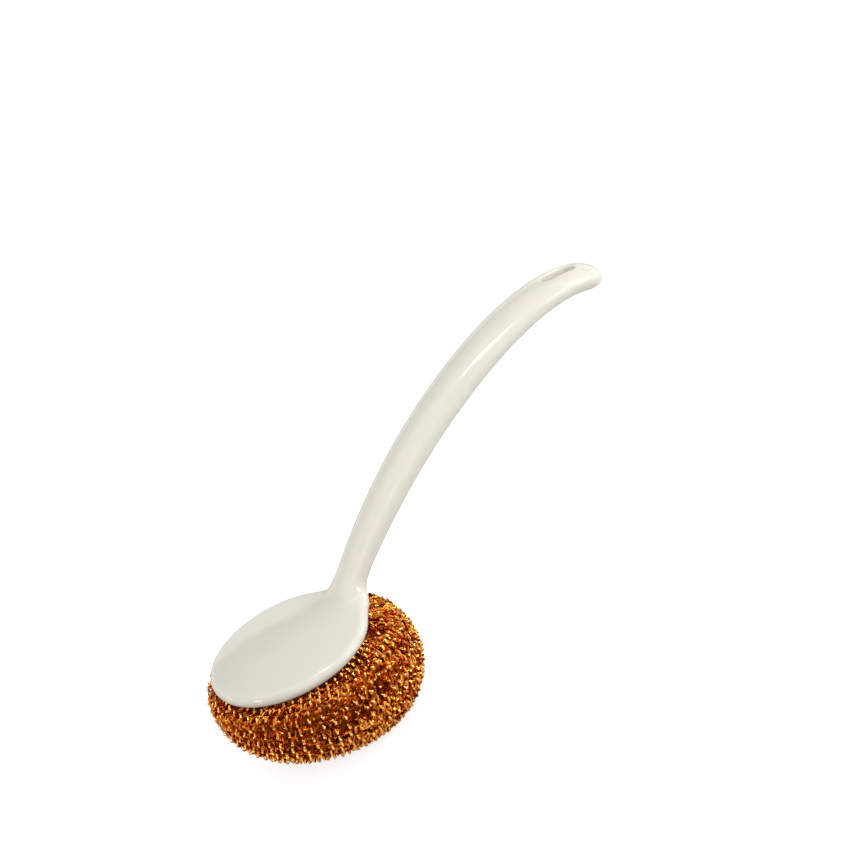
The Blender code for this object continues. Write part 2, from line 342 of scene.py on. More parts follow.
def ring_points(radius, height, steps):
    """Points on level rings round Z, one ring for each radius and height."""
    angle = np.arange(steps) * math.tau / steps
    radius, height = radius[:, None], height[:, None]
    rings = np.stack([radius * np.cos(angle), radius * np.sin(angle), height + np.zeros(steps)], axis=-1)
    return rings.reshape(-1, 3)


def ring_quads(first, rings, steps):
    """Quads between rings of points that follow one another from the first number on."""
    here = np.arange(steps)
    after = (here + 1) % steps
    row = first + steps * np.arange(rings)[:, None]
    quads = np.stack([row[:-1] + here, row[1:] + here, row[1:] + after, row[:-1] + after], axis=-1)
    return quads.reshape(-1, 4)


def fan(middle, first, steps):
    """Triangles between one point and a ring of points."""
    here = np.arange(steps)
    after = (here + 1) % steps
    return [(middle, first + a, first + b) for a, b in zip(here, after)]


def turned(name, outline, steps, surface):
    """Outline points (radius, height), from a pole down the outer side to a pole, turned round Z."""
    radius, height = outline.T
    rings = ring_points(radius[1:-1], height[1:-1], steps)
    points = np.concatenate([[(0, 0, height[0])], rings, [(0, 0, height[-1])]])
    count = len(radius) - 2
    sides = ring_quads(1, count, steps).tolist()
    last_ring = 1 + steps * (count - 1)
    bottom = [(middle, b, a) for middle, a, b in fan(len(points) - 1, last_ring, steps)]
    return piece(name, points, fan(0, 1, steps) + sides + bottom, surface)


def soft_min(a, b, width):
    """The smaller of two fields, less a cubic of how near they are, which rounds the corner between them."""
    near = np.clip(1.0 - np.abs(a - b) / (1.5 * width), 0.0, 1.0)
    return np.minimum(a, b) - 0.25 * width * near ** 3


def soft_max(a, b, width):
    """The larger of two fields, with the corner between them rounded in the same way."""
    return -soft_min(-a, -b, width)


def skin(field, low, high, step, rounds=4):
    """Quads on the surface where a field of (x, y, z) is zero: one vertex in each cell of a grid that the
    surface crosses, joined across every grid edge whose ends lie on its two sides. In each round the
    vertices move along the field's slope until they lie on the surface, and from the second round on they
    are evened out before that."""
    low, high = np.array(low), np.array(high)
    counts = np.ceil((high - low) / step).astype(int) + 1
    x, y, z = [low[i] + step * np.arange(counts[i]) for i in range(3)]
    inside = field(x[:, None, None], y[None, :, None], z[None, None, :]) < 0
    corners = sum(inside[i:len(x) - 1 + i, j:len(y) - 1 + j, k:len(z) - 1 + k].astype(np.int8)
                  for i in (0, 1) for j in (0, 1) for k in (0, 1))
    crossed = (corners > 0) & (corners < 8)
    number = np.full(crossed.shape, -1)
    number[crossed] = np.arange(crossed.sum())
    points = low + (np.argwhere(crossed) + 0.5) * step
    quads = np.concatenate([crossing_quads(inside, number, axis) for axis in range(3)])
    for settle in range(rounds):
        if settle:
            points = evened(points, quads)
        for _ in range(2):
            points = onto(field, points, step)
    return points, quads


def crossing_quads(inside, number, axis):
    """For every grid edge along an axis whose ends lie on the two sides of the surface, the quad of the
    four cells around it, turned to face outwards."""
    one, two = np.delete(np.arange(3), axis)
    if axis == 1:
        one, two = two, one
    near = np.moveaxis(inside, axis, 0)[:-1]
    far = np.moveaxis(inside, axis, 0)[1:]
    start = np.argwhere(np.moveaxis(near != far, 0, axis))
    rising = np.moveaxis(near, 0, axis)[tuple(start.T)]
    cell = [start.copy() for _ in range(4)]
    cell[1][:, one] -= 1
    cell[2][:, one] -= 1
    cell[2][:, two] -= 1
    cell[3][:, two] -= 1
    quad = np.stack([number[tuple(place.T)] for place in cell], axis=1)
    return np.where(rising[:, None], quad, quad[:, ::-1])


def evened(points, quads):
    """Each vertex moved halfway to the middle of its neighbours."""
    total = np.zeros_like(points)
    count = np.zeros(len(points))
    for side in (1, 3):
        near = quads.ravel()
        far = np.roll(quads, side, axis=1).ravel()
        for axis in range(3):
            total[:, axis] += np.bincount(near, points[far, axis], len(points))
        count += np.bincount(near, minlength=len(points))
    return 0.5 * points + 0.5 * total / count[:, None]


def onto(field, points, step):
    """One step of each vertex along the field's slope to where the field is zero."""
    reach = 0.05 * step
    value = field(*points.T)
    slope = np.stack([field(*(points + reach * np.eye(3)[axis]).T) - value for axis in range(3)], 1) / reach
    move = value / np.maximum((slope ** 2).sum(1), 0.05)
    return points - slope * np.clip(move, -step, step)[:, None]


# Handle

def stem_slope(along):
    """Slope in radians: steady bend, faster at the tip, level in the part buried in the head."""
    t = np.clip(along / STEM_LENGTH, 0.0, 1.0)
    slope = STEM_SLOPE[0] + STEM_SLOPE[1] * t + STEM_SLOPE[2] * t ** TIP_BEND_POWER
    return np.radians(slope) * np.clip(1.0 + along / STEM_ROOT, 0.0, 1.0)


def stem_line(along):
    """X and height of the stem's centre line: its slope added up from the stem's start."""
    fine = np.linspace(-STEM_ROOT, STEM_LENGTH, STEM_POINTS)
    middle = stem_slope((fine[1:] + fine[:-1]) / 2)
    x = np.concatenate([[0.0], np.cumsum(np.cos(middle))]) * (fine[1] - fine[0])
    z = np.concatenate([[0.0], np.cumsum(np.sin(middle))]) * (fine[1] - fine[0])
    x += STEM_START[0] - np.interp(0.0, fine, x)
    z += STEM_START[1] - np.interp(0.0, fine, z)
    return np.interp(along, fine, x), np.interp(along, fine, z)


def stem_place(x, z):
    """For points of the plane Y = 0, the distance along the stem and the height over its centre line. The
    nearest of a row of marks is found first, for a batch of points at a time."""
    x, z = np.broadcast_arrays(x, z)
    flat_x, flat_z = x.ravel(), z.ravel()
    mark = np.linspace(-STEM_ROOT, STEM_LENGTH, STEM_MARKS)
    mark_x, mark_z = stem_line(mark)
    nearest = np.empty(len(flat_x), int)
    for start in range(0, len(flat_x), MARK_BATCH):
        part = slice(start, start + MARK_BATCH)
        gap = (flat_x[part, None] - mark_x) ** 2 + (flat_z[part, None] - mark_z) ** 2
        nearest[part] = gap.argmin(axis=1)
    slope = stem_slope(mark)[nearest]
    ahead = (flat_x - mark_x[nearest]) * np.cos(slope) + (flat_z - mark_z[nearest]) * np.sin(slope)
    along = mark[nearest] + ahead
    held = np.clip(along, -STEM_ROOT, STEM_LENGTH)
    line_x, line_z = stem_line(held)
    slope = stem_slope(held)
    over = (flat_z - line_z) * np.cos(slope) - (flat_x - line_x) * np.sin(slope)
    return along.reshape(x.shape), over.reshape(x.shape)


def stem_field(x, y, z):
    """Distance from the stem's surface: the section is a rounded oval whose half width and thickness are
    sums of terms along the stem. At the head, the width grows, half as much on top as on the underside,
    and the underside gets deeper. Both sizes shrink to nothing over the round of the tip."""
    along, over = stem_place(x, z)
    t = np.clip(along / STEM_LENGTH, 0.0, 1.0)
    width = (HALF_WIDTH[0] + HALF_WIDTH[1] * t + HALF_WIDTH[2] * t ** 2) * MM
    thick = width * (FLATNESS[0] + FLATNESS[1] * t) - ROOT_THIN * np.clip(-along / STEM_ROOT, 0.0, 1.0)
    ahead = np.maximum(along, 0.0)
    lower = 0.75 - 0.25 * np.tanh(over / FLARE_CHANGE)
    width = width + lower * FLARE_WIDTH * np.exp(-(ahead / FLARE_FADE) ** 2)
    thick = thick + np.where(over < 0, FILLET_DEPTH * np.exp(-(ahead / FILLET_FADE) ** 2), 0.0)
    root = np.clip(-(along + STEM_ROOT) / ROOT_ROUND, 0.0, None)
    past = along - STEM_LENGTH - TIP_REACH
    tip = np.clip((past + TIP_ROUND) / TIP_ROUND, 0.0, None)
    edge = np.clip((past + TIP_EDGE) / TIP_EDGE, 0.0, None)
    side = np.sqrt((y / width) ** 2 + tip ** 2 + root ** 2) + 1e-6
    rise = np.sqrt((over / thick) ** 2 + TIP_EDGE_SHARE * edge ** 2 + root ** 2) + 1e-6
    power = SECTION_POWER
    norm = (side ** power + rise ** power) ** (1 / power)
    by_side = (side / norm) ** (power - 1) / side
    by_rise = (rise / norm) ** (power - 1) / rise
    by_tip = by_side * tip / TIP_ROUND + by_rise * TIP_EDGE_SHARE * edge / TIP_EDGE
    steep = np.sqrt((by_side * y / width ** 2) ** 2 + (by_rise * over / thick ** 2) ** 2 + by_tip ** 2)
    return (norm - 1.0) / np.maximum(steep, LEAST_STEEPNESS)


def slot_field(x, y, z, length, width):
    """Distance from a bar with round ends that goes through the stem, square to it."""
    middle = np.array([SLOT_CENTRE])
    centre_x, centre_z = stem_line(middle)
    slope = stem_slope(middle)[0]
    along = (x - centre_x[0]) * math.cos(slope) + (z - centre_z[0]) * math.sin(slope)
    past = np.maximum(np.abs(along) - (length - width) / 2, 0.0)
    above = np.abs(z - centre_z[0]) - SLOT_REACH
    return np.maximum(np.hypot(past, y) - width / 2, above)


def head_fields(x, y, z):
    """Distances from the dome taken as solid, from its hollow, and from the socket with its bore. The dome
    is a cap of a sphere with a round edge, and its hollow is the same cap, smaller by the wall."""
    radius = np.hypot(x, y)
    over = np.hypot(radius, z - CROWN_CENTRE) - (CROWN_RADIUS - RIM_ROUND)
    edge = np.hypot(radius - CORE_RADIUS, z - RIM_HEIGHT)
    wedge = radius * math.cos(DOME_EDGE_SLOPE) <= (z - CROWN_CENTRE) * math.sin(DOME_EDGE_SLOPE)
    cap = np.where(wedge & (z >= RIM_HEIGHT), over, edge)
    dome = np.where((z < RIM_HEIGHT) & (radius < CORE_RADIUS), RIM_HEIGHT - z, cap) - RIM_ROUND
    inner = RIM_ROUND - WALL
    hollow = np.where(z < RIM_HEIGHT, radius - CORE_RADIUS - inner, cap - inner)
    post = soft_max(radius - SOCKET_RADIUS, SOCKET_BOTTOM - z, SOCKET_EDGE)
    post = np.maximum(post, z - SOCKET_TOP)
    groove = GROOVE_DEPTH * np.exp(-((z - GROOVE_HEIGHT) / GROOVE_HALF) ** 4)
    bore = soft_max(radius - BORE_RADIUS - groove, z - BORE_TOP, BORE_CORNER)
    return dome, hollow, post, bore


def handle_field(x, y, z):
    """Distance from the whole handle: dome and stem flow into each other, more so under the neck, less what
    lies below the head's edge, the hollow and the hang slot, plus the socket, less its bore. Each corner is
    rounded."""
    chosen = bpy.context.scene.scrubber.handle
    dome, hollow, post, bore = head_fields(x, y, z)
    low_side = np.clip((NECK_UNDERSIDE - z) / NECK_CHANGE, 0.0, 1.0)
    body = soft_min(dome, stem_field(x, y, z), chosen.neck_blend * (1.0 + NECK_EXTRA * low_side))
    near_head = np.hypot(x, y) - HEAD_RADIUS - LIP_CUT
    below = np.minimum(LIP_HEIGHT - z, -near_head)
    body = soft_max(body, below, chosen.lip_round)
    body = soft_max(body, -hollow, chosen.lip_round)
    body = soft_min(body, post, SOCKET_FILLET)
    body = soft_max(body, -bore, BORE_EDGE)
    slot = slot_field(x, y, z, chosen.slot_length, chosen.slot_width)
    return soft_max(body, -slot, chosen.slot_round)


# Materials

def fill(node, sockets):
    """Link or set a node's sockets: what comes out of another node is linked, any other value is set."""
    for name, value in sockets.items():
        if isinstance(value, bpy.types.NodeSocket):
            node.id_data.links.new(value, node.inputs[name])
        else:
            node.inputs[name].default_value = value


def add(tree, kind, sockets=None, **settings):
    """A new node in a tree, with its settings made and its sockets linked or set."""
    node = tree.nodes.new(kind)
    for name, value in settings.items():
        setattr(node, name, value)
    fill(node, sockets or {})
    return node


def new_material(name):
    """A material, its node tree and its shader."""
    made = bpy.data.materials.new(name)
    made.use_nodes = True
    return made, made.node_tree, made.node_tree.nodes["Principled BSDF"]


def scaled_colour(colour, share):
    """A colour times a share: darker copies paint shade on the deeper wire, and slight changes of it give the
    plastic its uneven tone.
    """
    return [share * part for part in colour]


def two_tone(tree, value, start, end):
    """A colour that runs from one (position, colour) pair to another as a value rises."""
    ramp = add(tree, "ShaderNodeValToRGB", {"Fac": value})
    for element, (position, colour) in zip(ramp.color_ramp.elements, (start, end)):
        element.position = position
        element.color = (*colour, 1)
    return ramp.outputs["Color"]


def plastic(name, colour, roughness):
    """Moulded plastic: light goes a little way in, the gloss is broken by a faint waviness and by fine
    handling marks, and the colour varies very slightly over the length."""
    made, tree, shader = new_material(name)
    place = add(tree, "ShaderNodeTexCoord").outputs["Object"]
    broad = add(tree, "ShaderNodeTexNoise", {"Vector": place, "Scale": 14.0, "Detail": 2.0})
    fine = add(tree, "ShaderNodeTexNoise", {"Vector": place, "Scale": 420.0, "Detail": 3.0})
    gloss = add(tree, "ShaderNodeMapRange", {
        "Value": fine.outputs["Fac"], "To Min": roughness - 0.03, "To Max": roughness + 0.05})
    wave = add(tree, "ShaderNodeTexNoise", {"Vector": place, "Scale": 60.0, "Detail": 1.0})
    bump = add(tree, "ShaderNodeBump", {"Height": wave.outputs["Fac"], "Strength": 0.05, "Distance": 0.0006})
    tint = two_tone(tree, broad.outputs["Fac"], (0.0, scaled_colour(colour, 0.97)), (1.0, scaled_colour(colour, 1.02)))
    fill(shader, {
        "Base Color": tint, "Roughness": gloss.outputs["Result"], "Normal": bump.outputs["Normal"],
        "Subsurface Weight": 0.3, "Subsurface Radius": (1.0, 0.75, 0.5), "Subsurface Scale": 0.003,
        "IOR": 1.49, "Specular IOR Level": 0.36})
    return made


def wire_metal(name, colour, deep, highlight, rough=0.16):
    """Drawn flat wire: copper gold that turns redder from place to place, with a painted highlight in a paler
    colour where a stitch stands out as a bead, and fine lines along the wire."""
    made, tree, shader = new_material(name)
    place = add(tree, "ShaderNodeTexCoord")
    broad = add(tree, "ShaderNodeTexNoise", {
        "Vector": place.outputs["Object"], "Scale": 160.0, "Detail": 3.0})
    tint = two_tone(tree, broad.outputs["Fac"], (0.35, deep), (0.65, colour))
    # Painted highlight: the bead attribute mixes in the paler colour where the wire stands out as a bead.
    bead = add(tree, "ShaderNodeAttribute", attribute_name="bead")
    both = add(tree, "ShaderNodeMix", {0: bead.outputs["Fac"], 6: tint, 7: (*highlight, 1)}, data_type="RGBA")
    spread = add(tree, "ShaderNodeMapping", {"Vector": place.outputs["UV"], "Scale": (2.0, 60.0, 1.0)})
    lines = add(tree, "ShaderNodeTexNoise", {"Vector": spread.outputs["Vector"], "Scale": 4.0, "Detail": 2.0})
    gloss = add(tree, "ShaderNodeMapRange", {
        "Value": lines.outputs["Fac"], "To Min": rough - 0.06, "To Max": rough + 0.1})
    bump = add(tree, "ShaderNodeBump", {"Height": lines.outputs["Fac"], "Strength": 0.15, "Distance": 0.0001})
    fill(shader, {
        "Base Color": both.outputs[2], "Roughness": gloss.outputs["Result"],
        "Normal": bump.outputs["Normal"], "Metallic": 1.0})
    return made


def floor_surface(colour):
    """A pale floor that shows as white to the camera, keeps soft shadows, and shows in reflections too: white
    at the wall, weaker below, where the knit mirrors the floor under it. From below it is clear, so that the
    object's underside can be seen."""
    made, tree, shader = new_material("white_floor")
    path = add(tree, "ShaderNodeLightPath").outputs
    mirrored = add(tree, "ShaderNodeMath", {
        0: path["Is Glossy Ray"], 1: path["Is Transmission Ray"]}, operation="MAXIMUM")
    place = add(tree, "ShaderNodeTexCoord").outputs["Object"]
    height = add(tree, "ShaderNodeSeparateXYZ", {"Vector": place}).outputs["Z"]
    by_height = add(tree, "ShaderNodeMapRange", {
        "Value": height, "From Min": 0.0, "From Max": WALL_START,
        "To Min": FLOOR_MIRRORED, "To Max": WALL_MIRRORED})
    weaker = add(tree, "ShaderNodeMath", {
        0: mirrored.outputs[0], 1: by_height.outputs["Result"]}, operation="MULTIPLY")
    direct = add(tree, "ShaderNodeMath", {0: path["Is Camera Ray"], 1: FLOOR_GLOW}, operation="MULTIPLY")
    lift = add(tree, "ShaderNodeMath", {0: direct.outputs[0], 1: weaker.outputs[0]}, operation="MAXIMUM")
    fill(shader, {
        "Base Color": (*colour, 1), "Roughness": 0.9, "Specular IOR Level": 0.0,
        "Emission Color": (1, 1, 1, 1), "Emission Strength": lift.outputs[0]})
    behind = add(tree, "ShaderNodeNewGeometry").outputs["Backfacing"]
    clear = add(tree, "ShaderNodeBsdfTransparent").outputs[0]
    both = add(tree, "ShaderNodeMixShader", {0: behind, 1: shader.outputs[0], 2: clear})
    fill(tree.nodes["Material Output"], {"Surface": both.outputs[0]})
    return made


# Scourer

def ceiling(radius):
    """Height of the underside of what presses on the knit, at a distance from the head's axis: the dome's
    inner face, the head's edge, and outside it a slow fall."""
    inner_face = CROWN_CENTRE + np.sqrt(np.maximum((CROWN_RADIUS - WALL) ** 2 - radius ** 2, 0.0))
    outside = LIP_HEIGHT - SHELF_DROP * np.maximum(radius - LIP_OUTER, 0.0) ** 2
    blend = np.clip((LIP_INNER - radius) / LIP_BLEND, 0.0, 1.0)
    return outside + (inner_face - outside) * blend ** 2 * (3 - 2 * blend)


def core_radius(height):
    """Radius of the retainer and the socket, which the knit leaves free, at a height. It widens under the
    disc, and narrows from the disc to the hub."""
    heights = [-EYE_FLARE[0], 0.0, DISC_THICKNESS, SOCKET_BOTTOM - GAP, SOCKET_BOTTOM]
    return np.interp(height, heights, [DISC_RADIUS + EYE_FLARE[1], DISC_RADIUS, DISC_RADIUS, HUB_RADIUS,
                                       SOCKET_RADIUS])


def ring_surface(tube_radius, depth=0.0, around=288, across=360):
    """The middle surface of the knit, as a grid of points and outward normals. A tilted ring's tube is
    pressed down by the head, up by the ground and outwards by the retainer, each with a soft corner, and
    its points are then spread evenly from the socket over the outside to the retainer's disc."""
    angle = np.arange(around)[:, None] * math.tau / around
    turn = np.linspace(*TUBE_ENDS, TUBE_POINTS)[None, :]
    size = tube_radius - depth - FAR_SQUEEZE * np.exp(-((angle - FAR_SIDE) / FAR_SPREAD) ** 2)
    out = np.maximum(RING_RADIUS + size * np.cos(turn), LEAST_RADIUS)
    ring = np.stack([out * np.cos(angle), out * np.sin(angle), size * np.sin(turn)], -1)
    tilt = Matrix.Rotation(RING_TILT[1], 3, "Y") @ Matrix.Rotation(RING_TILT[0], 3, "X")
    ring = ring @ np.array(tilt).T + np.array(RING_CENTRE)
    x, y, z = np.moveaxis(ring, -1, 0)
    radius = np.hypot(x, y)
    z = soft_min(z, ceiling(radius) - GAP - KNIT_HALF - depth, HEAD_CORNER)
    z = soft_max(z, BASE_HEIGHT + KNIT_LIFT + depth, GROUND_CORNER)
    grown = soft_max(radius, core_radius(z) + EYE_ROOM + depth, EYE_CORNER)
    ring = np.stack([x * grown / radius, y * grown / radius, z], -1)
    steps = np.linalg.norm(np.diff(ring, axis=1), axis=2)
    length = np.pad(np.cumsum(steps, axis=1), ((0, 0), (1, 0)))
    even = np.linspace(0.0, 1.0, across)
    lines = []
    for way, line in zip(length, ring):
        lines.append(np.stack([np.interp(even * way[-1], way, line[:, axis]) for axis in range(3)], -1))
    spread = np.stack(lines)
    along = np.roll(spread, -1, axis=0) - np.roll(spread, 1, axis=0)
    normal = np.cross(np.gradient(spread, axis=1), along)
    normal /= np.linalg.norm(normal, axis=2, keepdims=True) + 1e-12
    return spread, normal


def on_grid(grid, round_part, across_part):
    """Values between the points of a grid that closes on itself in its first direction."""
    around, across = grid.shape[:2]
    i = np.mod(round_part, 1.0) * around
    j = np.clip(across_part, 0.0, 1.0) * (across - 1)
    i0 = np.floor(i).astype(int) % around
    j0 = np.minimum(np.floor(j).astype(int), across - 2)
    a, b = (i - np.floor(i))[:, None], (j - j0)[:, None]
    i1 = (i0 + 1) % around
    return ((grid[i0, j0] * (1 - a) + grid[i1, j0] * a) * (1 - b)
            + (grid[i0, j0 + 1] * (1 - a) + grid[i1, j0 + 1] * a) * b)


def wrapped(angle):
    """The same angle between minus and plus half a turn."""
    return np.mod(angle + math.pi, math.tau) - math.pi


def slackness(turn, across_part):
    """How slack the knit is, from nearly 0 to 1: it is stretched on the calm side and on the outermost belt
    of another side."""
    side = np.exp(-(wrapped(turn - CALM_SIDE) / CALM_SPREAD) ** 2)
    belt = np.exp(-((across_part - 0.5) / CALM_BELT_HALF) ** 2)
    belt = belt * np.exp(-(wrapped(turn - CALM_BELT) / CALM_SPREAD) ** 2)
    return (1.0 - CALM_SIDE_SHARE * side) * (1.0 - CALM_BELT_SHARE * belt)


def by_slack(pair, slack):
    """A value on stretched knit, plus what slack knit adds to it."""
    return pair[0] + pair[1] * slack


def knitted(name, grids, wales, rows, wire, surface, samples, seed, disorder=1.0, shift=0.0, sink=0.0,
            inside_out=False, pieces=1):
    """Flat wire, of a width and a thickness, knitted in one rising spiral of stitches. Along a stitch, the
    wire swings twice to the sides while it goes once up and down by most of a row. One leg stands forward
    as a bead that turns the wire's face outwards, the other leg stands less far forward, and between them
    the wire goes back and stands on its edge. The points along the wire lie closer together at the bead.
    The stitches are uneven and drift in slow waves where the knit is slack. Where it is stretched, they are
    calm, their beads are shorter, the other leg stands lower and a layer can also lie deeper. They are more
    crowded on one side of the ring than on the other."""
    uneven = np.random.RandomState(seed)
    count = wales * (rows - 2)
    even = math.tau * np.arange(count * samples + 1) / samples
    swing = even + BEAD_DENSITY * np.cos(even)
    t = swing / math.tau

    def wander(size, knots=1):
        values = uneven.uniform(-1.0, 1.0, (count + 2) * knots) * size * disorder
        return np.interp(t * knots, np.arange(len(values)), values)

    turn = math.tau * t / wales
    slack = slackness(turn, (1.0 + t / wales) / rows)
    drift = slack * sum(size * np.sin(waves * turn + slant * t / wales) for size, waves, slant in DRIFT_WAVES)
    across = t + shift + SIDE_SWING * np.sin(2 * swing) + SIDE_LEAN * np.sin(swing) + drift
    across = across + wander(PLACE_WANDER) * slack
    row = 1.0 + t / wales + ROW_SWING * np.cos(swing) + wander(PLACE_WANDER) * slack
    to_bead = wrapped(swing - math.pi / 2)
    bead = np.exp(-(to_bead / by_slack(BEAD_SPAN, slack)) ** 2)
    leg = np.exp(-(wrapped(swing + math.pi / 2) / LEG_SPAN) ** 4)
    lift = BEAD_LIFT * bead + by_slack(LEG_LIFT, slack) * leg - STITCH_DIP
    depth = (-lift if inside_out else lift) * MM
    depth = depth + wander(DEPTH_WANDER[0]) * slack + wander(DEPTH_WANDER[1], FINE_KNOTS)
    depth = depth - sink * (1.0 - slack)
    where = (across / wales + CROWDING / math.tau * np.sin(turn - CALM_SIDE), row / rows)
    base, out = [on_grid(grid, *where) for grid in grids]
    out /= np.linalg.norm(out, axis=1, keepdims=True)
    line = base + out * depth[:, None]
    line[:, 2] = soft_max(line[:, 2], BASE_HEIGHT + GAP, WIRE_CORNER)
    twist = EDGE_TURN * (1 - np.exp(-(to_bead / by_slack(TURN_SPAN, slack)) ** 4))
    twist = twist + wander(TURN_WANDER[0]) * slack
    twist = twist + (1 - bead) * wander(TURN_WANDER[1], FINE_KNOTS)
    spacing = np.linalg.norm(base[:, :2], axis=1) * math.tau / wales
    half_width = np.clip(spacing / FULL_SPACING, NARROWEST, 1.0) * wire[0] / 2
    loops = flat_wire(line, out, twist, half_width, wire[1])
    return wire_lengths(name, loops, bead, samples, surface, pieces)


def flat_wire(line, out, twist, half_width, thickness):
    """The corners of a flat section at each point of a line. The section lies square to the outward
    direction and is turned from there about the line."""
    tangent = np.gradient(line, axis=0)
    tangent /= np.linalg.norm(tangent, axis=1, keepdims=True)
    flat = np.cross(out, tangent)
    flat /= np.linalg.norm(flat, axis=1, keepdims=True) + 1e-12
    high = np.cross(tangent, flat)
    wide = flat * np.cos(twist)[:, None] + high * np.sin(twist)[:, None]
    tall = np.cross(tangent, wide)
    return np.stack([line + wide * (half_width * a)[:, None] + tall * (b * thickness / 2)
                     for a, b in WIRE_SECTION], axis=1)


def wire_lengths(name, loops, bead, samples, surface, pieces):
    """The wire as a number of lengths, each closed at both ends. Its UV coordinates run along the wire, in
    stitches, and round its section, and an attribute says how much of a bead it is, which the material
    uses for a painted highlight."""
    corners = len(WIRE_SECTION)
    ends = np.linspace(0, len(loops) - 1, pieces + 1).astype(int)
    made = []
    for number, (first, last) in enumerate(zip(ends[:-1], ends[1:])):
        part = loops[first:last + 1]
        sides = ring_quads(0, len(part), corners)[:, [0, 3, 2, 1]]
        final = corners * (len(part) - 1)
        caps = [list(range(corners - 1, -1, -1)), list(range(final, final + corners))]
        wire = piece(f"{name}_{number + 1}", part.reshape(-1, 3), sides.tolist() + caps, surface)
        along = np.repeat(np.arange(len(part)) / samples, corners)
        edge = np.tile(np.linspace(0.0, 1.0, corners), len(part))
        layer = wire.data.uv_layers.new(name="along_wire")
        vertex = np.empty(len(wire.data.loops), int)
        wire.data.loops.foreach_get("vertex_index", vertex)
        layer.data.foreach_set("uv", np.stack([along[vertex], edge[vertex]], 1).ravel())
        attribute(wire, "bead", np.repeat(bead[first:last + 1] ** 2, corners))
        made.append(wire)
    return made


def closed_core(name, grid, surface):
    """The grid's surface with both ends joined, so that it closes the inside of the ring."""
    around, across = grid.shape[:2]
    i = np.arange(around)[:, None]
    j = np.arange(across)[None, :]
    after, below = (i + 1) % around, (j + 1) % across
    faces = np.stack([i * across + j, i * across + below, after * across + below, after * across + j], -1)
    return piece(name, grid.reshape(-1, 3), faces.reshape(-1, 4).tolist(), surface)


# Retainer

def retainer_outline(top, dish):
    """Half section of the retainer from the end of its stem down to the middle of its underside. Corners are
    radius, height and rounding, all in millimetres, and a curve rounds each one."""
    top, dish, snap = top / MM, dish / MM, GROOVE_HEIGHT / MM
    shoulder = (SOCKET_BOTTOM - GAP) / MM
    disc, thick = DISC_RADIUS / MM, DISC_THICKNESS / MM
    corners = np.array([
        (0.0, top, 0.0), (2.6, top, 0.7), (3.0, top - 1.6, 0.5), (3.0, snap + 1.1, 0.4), (3.15, snap, 0.3),
        (3.0, snap - 1.1, 0.4), (3.0, shoulder, 0.2), (4.9, shoulder, 0.5), (6.2, 6.6, 1.5), (9.0, 3.4, 1.5),
        (disc, thick, 0.7), (disc, 0.0, 0.8), (8.3, 0.0, 0.35), (7.4, dish, 0.5), (5.7, dish, 0.5),
        (4.8, 0.0, 0.35), (0.0, 0.0, 0.0)]) * MM
    t = np.linspace(0.0, 1.0, 6)[:, None]
    points = [corners[:1, :2]]
    for earlier, corner, later in zip(corners[:-2], corners[1:-1], corners[2:]):
        here = corner[:2]
        before, after = earlier[:2] - here, later[:2] - here
        cut = min(corner[2], 0.45 * np.linalg.norm(before), 0.45 * np.linalg.norm(after))
        start = here + before / np.linalg.norm(before) * cut
        finish = here + after / np.linalg.norm(after) * cut
        points.append((1 - t) ** 2 * start + 2 * t * (1 - t) * here + t ** 2 * finish)
    return np.concatenate(points + [corners[-1:, :2]])


# Stage

def sweep(name, surface):
    """A round floor that turns up into a low wall: radius and height follow a quarter circle."""
    bend = np.linspace(0.0, math.pi / 2, BEND_STEPS)
    radius = np.concatenate([[SWEEP_INNER], SWEEP_RADIUS - SWEEP_BEND * (1 - np.sin(bend)), [SWEEP_RADIUS]])
    height = np.concatenate([[0.0], SWEEP_BEND * (1 - np.cos(bend)), [SWEEP_HEIGHT]]) + BASE_HEIGHT - GAP
    points = np.concatenate([ring_points(radius, height, SWEEP_STEPS), [(0, 0, height[0])]])
    points = points + np.array([LIT_POINT[0], LIT_POINT[1], 0])
    faces = ring_quads(0, len(radius), SWEEP_STEPS).tolist() + fan(len(points) - 1, 0, SWEEP_STEPS)
    return piece(name, points, faces, surface)


def lamp(name, heading, height, distance, size, power):
    """A flat lamp that looks at the object from a heading and a height, both in degrees."""
    light = bpy.data.lights.new(name, "AREA")
    light.shape = "RECTANGLE"
    light.size, light.size_y = size
    light.energy = power
    made = bpy.data.objects.new(name, light)
    heading, height = math.radians(heading), math.radians(height)
    level = math.cos(height)
    away = Vector((level * math.cos(heading), level * math.sin(heading), math.sin(height)))
    made.location = Vector(LIT_POINT) + distance * away
    made.rotation_euler = (-away).to_track_quat("-Z", "Y").to_euler()
    bpy.context.scene.collection.objects.link(made)


def photo_camera(distance):
    """The camera of the photo: its angles, and where the head sits in the frame."""
    lift, lean, heading = [math.radians(angle) for angle in (CAMERA_LIFT, CAMERA_LEAN, CAMERA_HEADING)]
    flat = np.array([math.cos(lean), math.sin(lean), 0.0])
    upright = np.array([-math.sin(lean), math.cos(lean), 0.0])
    towards = np.array([0.0, 0.0, 1.0])
    axis_z = math.cos(lift) * upright + math.sin(lift) * towards
    away = math.sin(lift) * upright - math.cos(lift) * towards
    axis_x = math.cos(heading) * flat + math.sin(heading) * away
    axis_y = np.cross(axis_z, axis_x)
    turn = Matrix(np.stack([axis_x, axis_y, axis_z]).tolist())
    data = bpy.data.cameras.new("camera")
    data.sensor_width = 36.0
    data.lens = CAMERA_LENS * distance / CAMERA_DISTANCE
    data.clip_end = 50.0
    made = bpy.data.objects.new("camera", data)
    place = Vector((0, 0, RIM_HEIGHT)) + turn @ Vector((*CAMERA_SHIFT, distance))
    made.matrix_world = Matrix.Translation(place) @ turn.to_4x4()
    bpy.context.scene.collection.objects.link(made)
    bpy.context.scene.camera = made


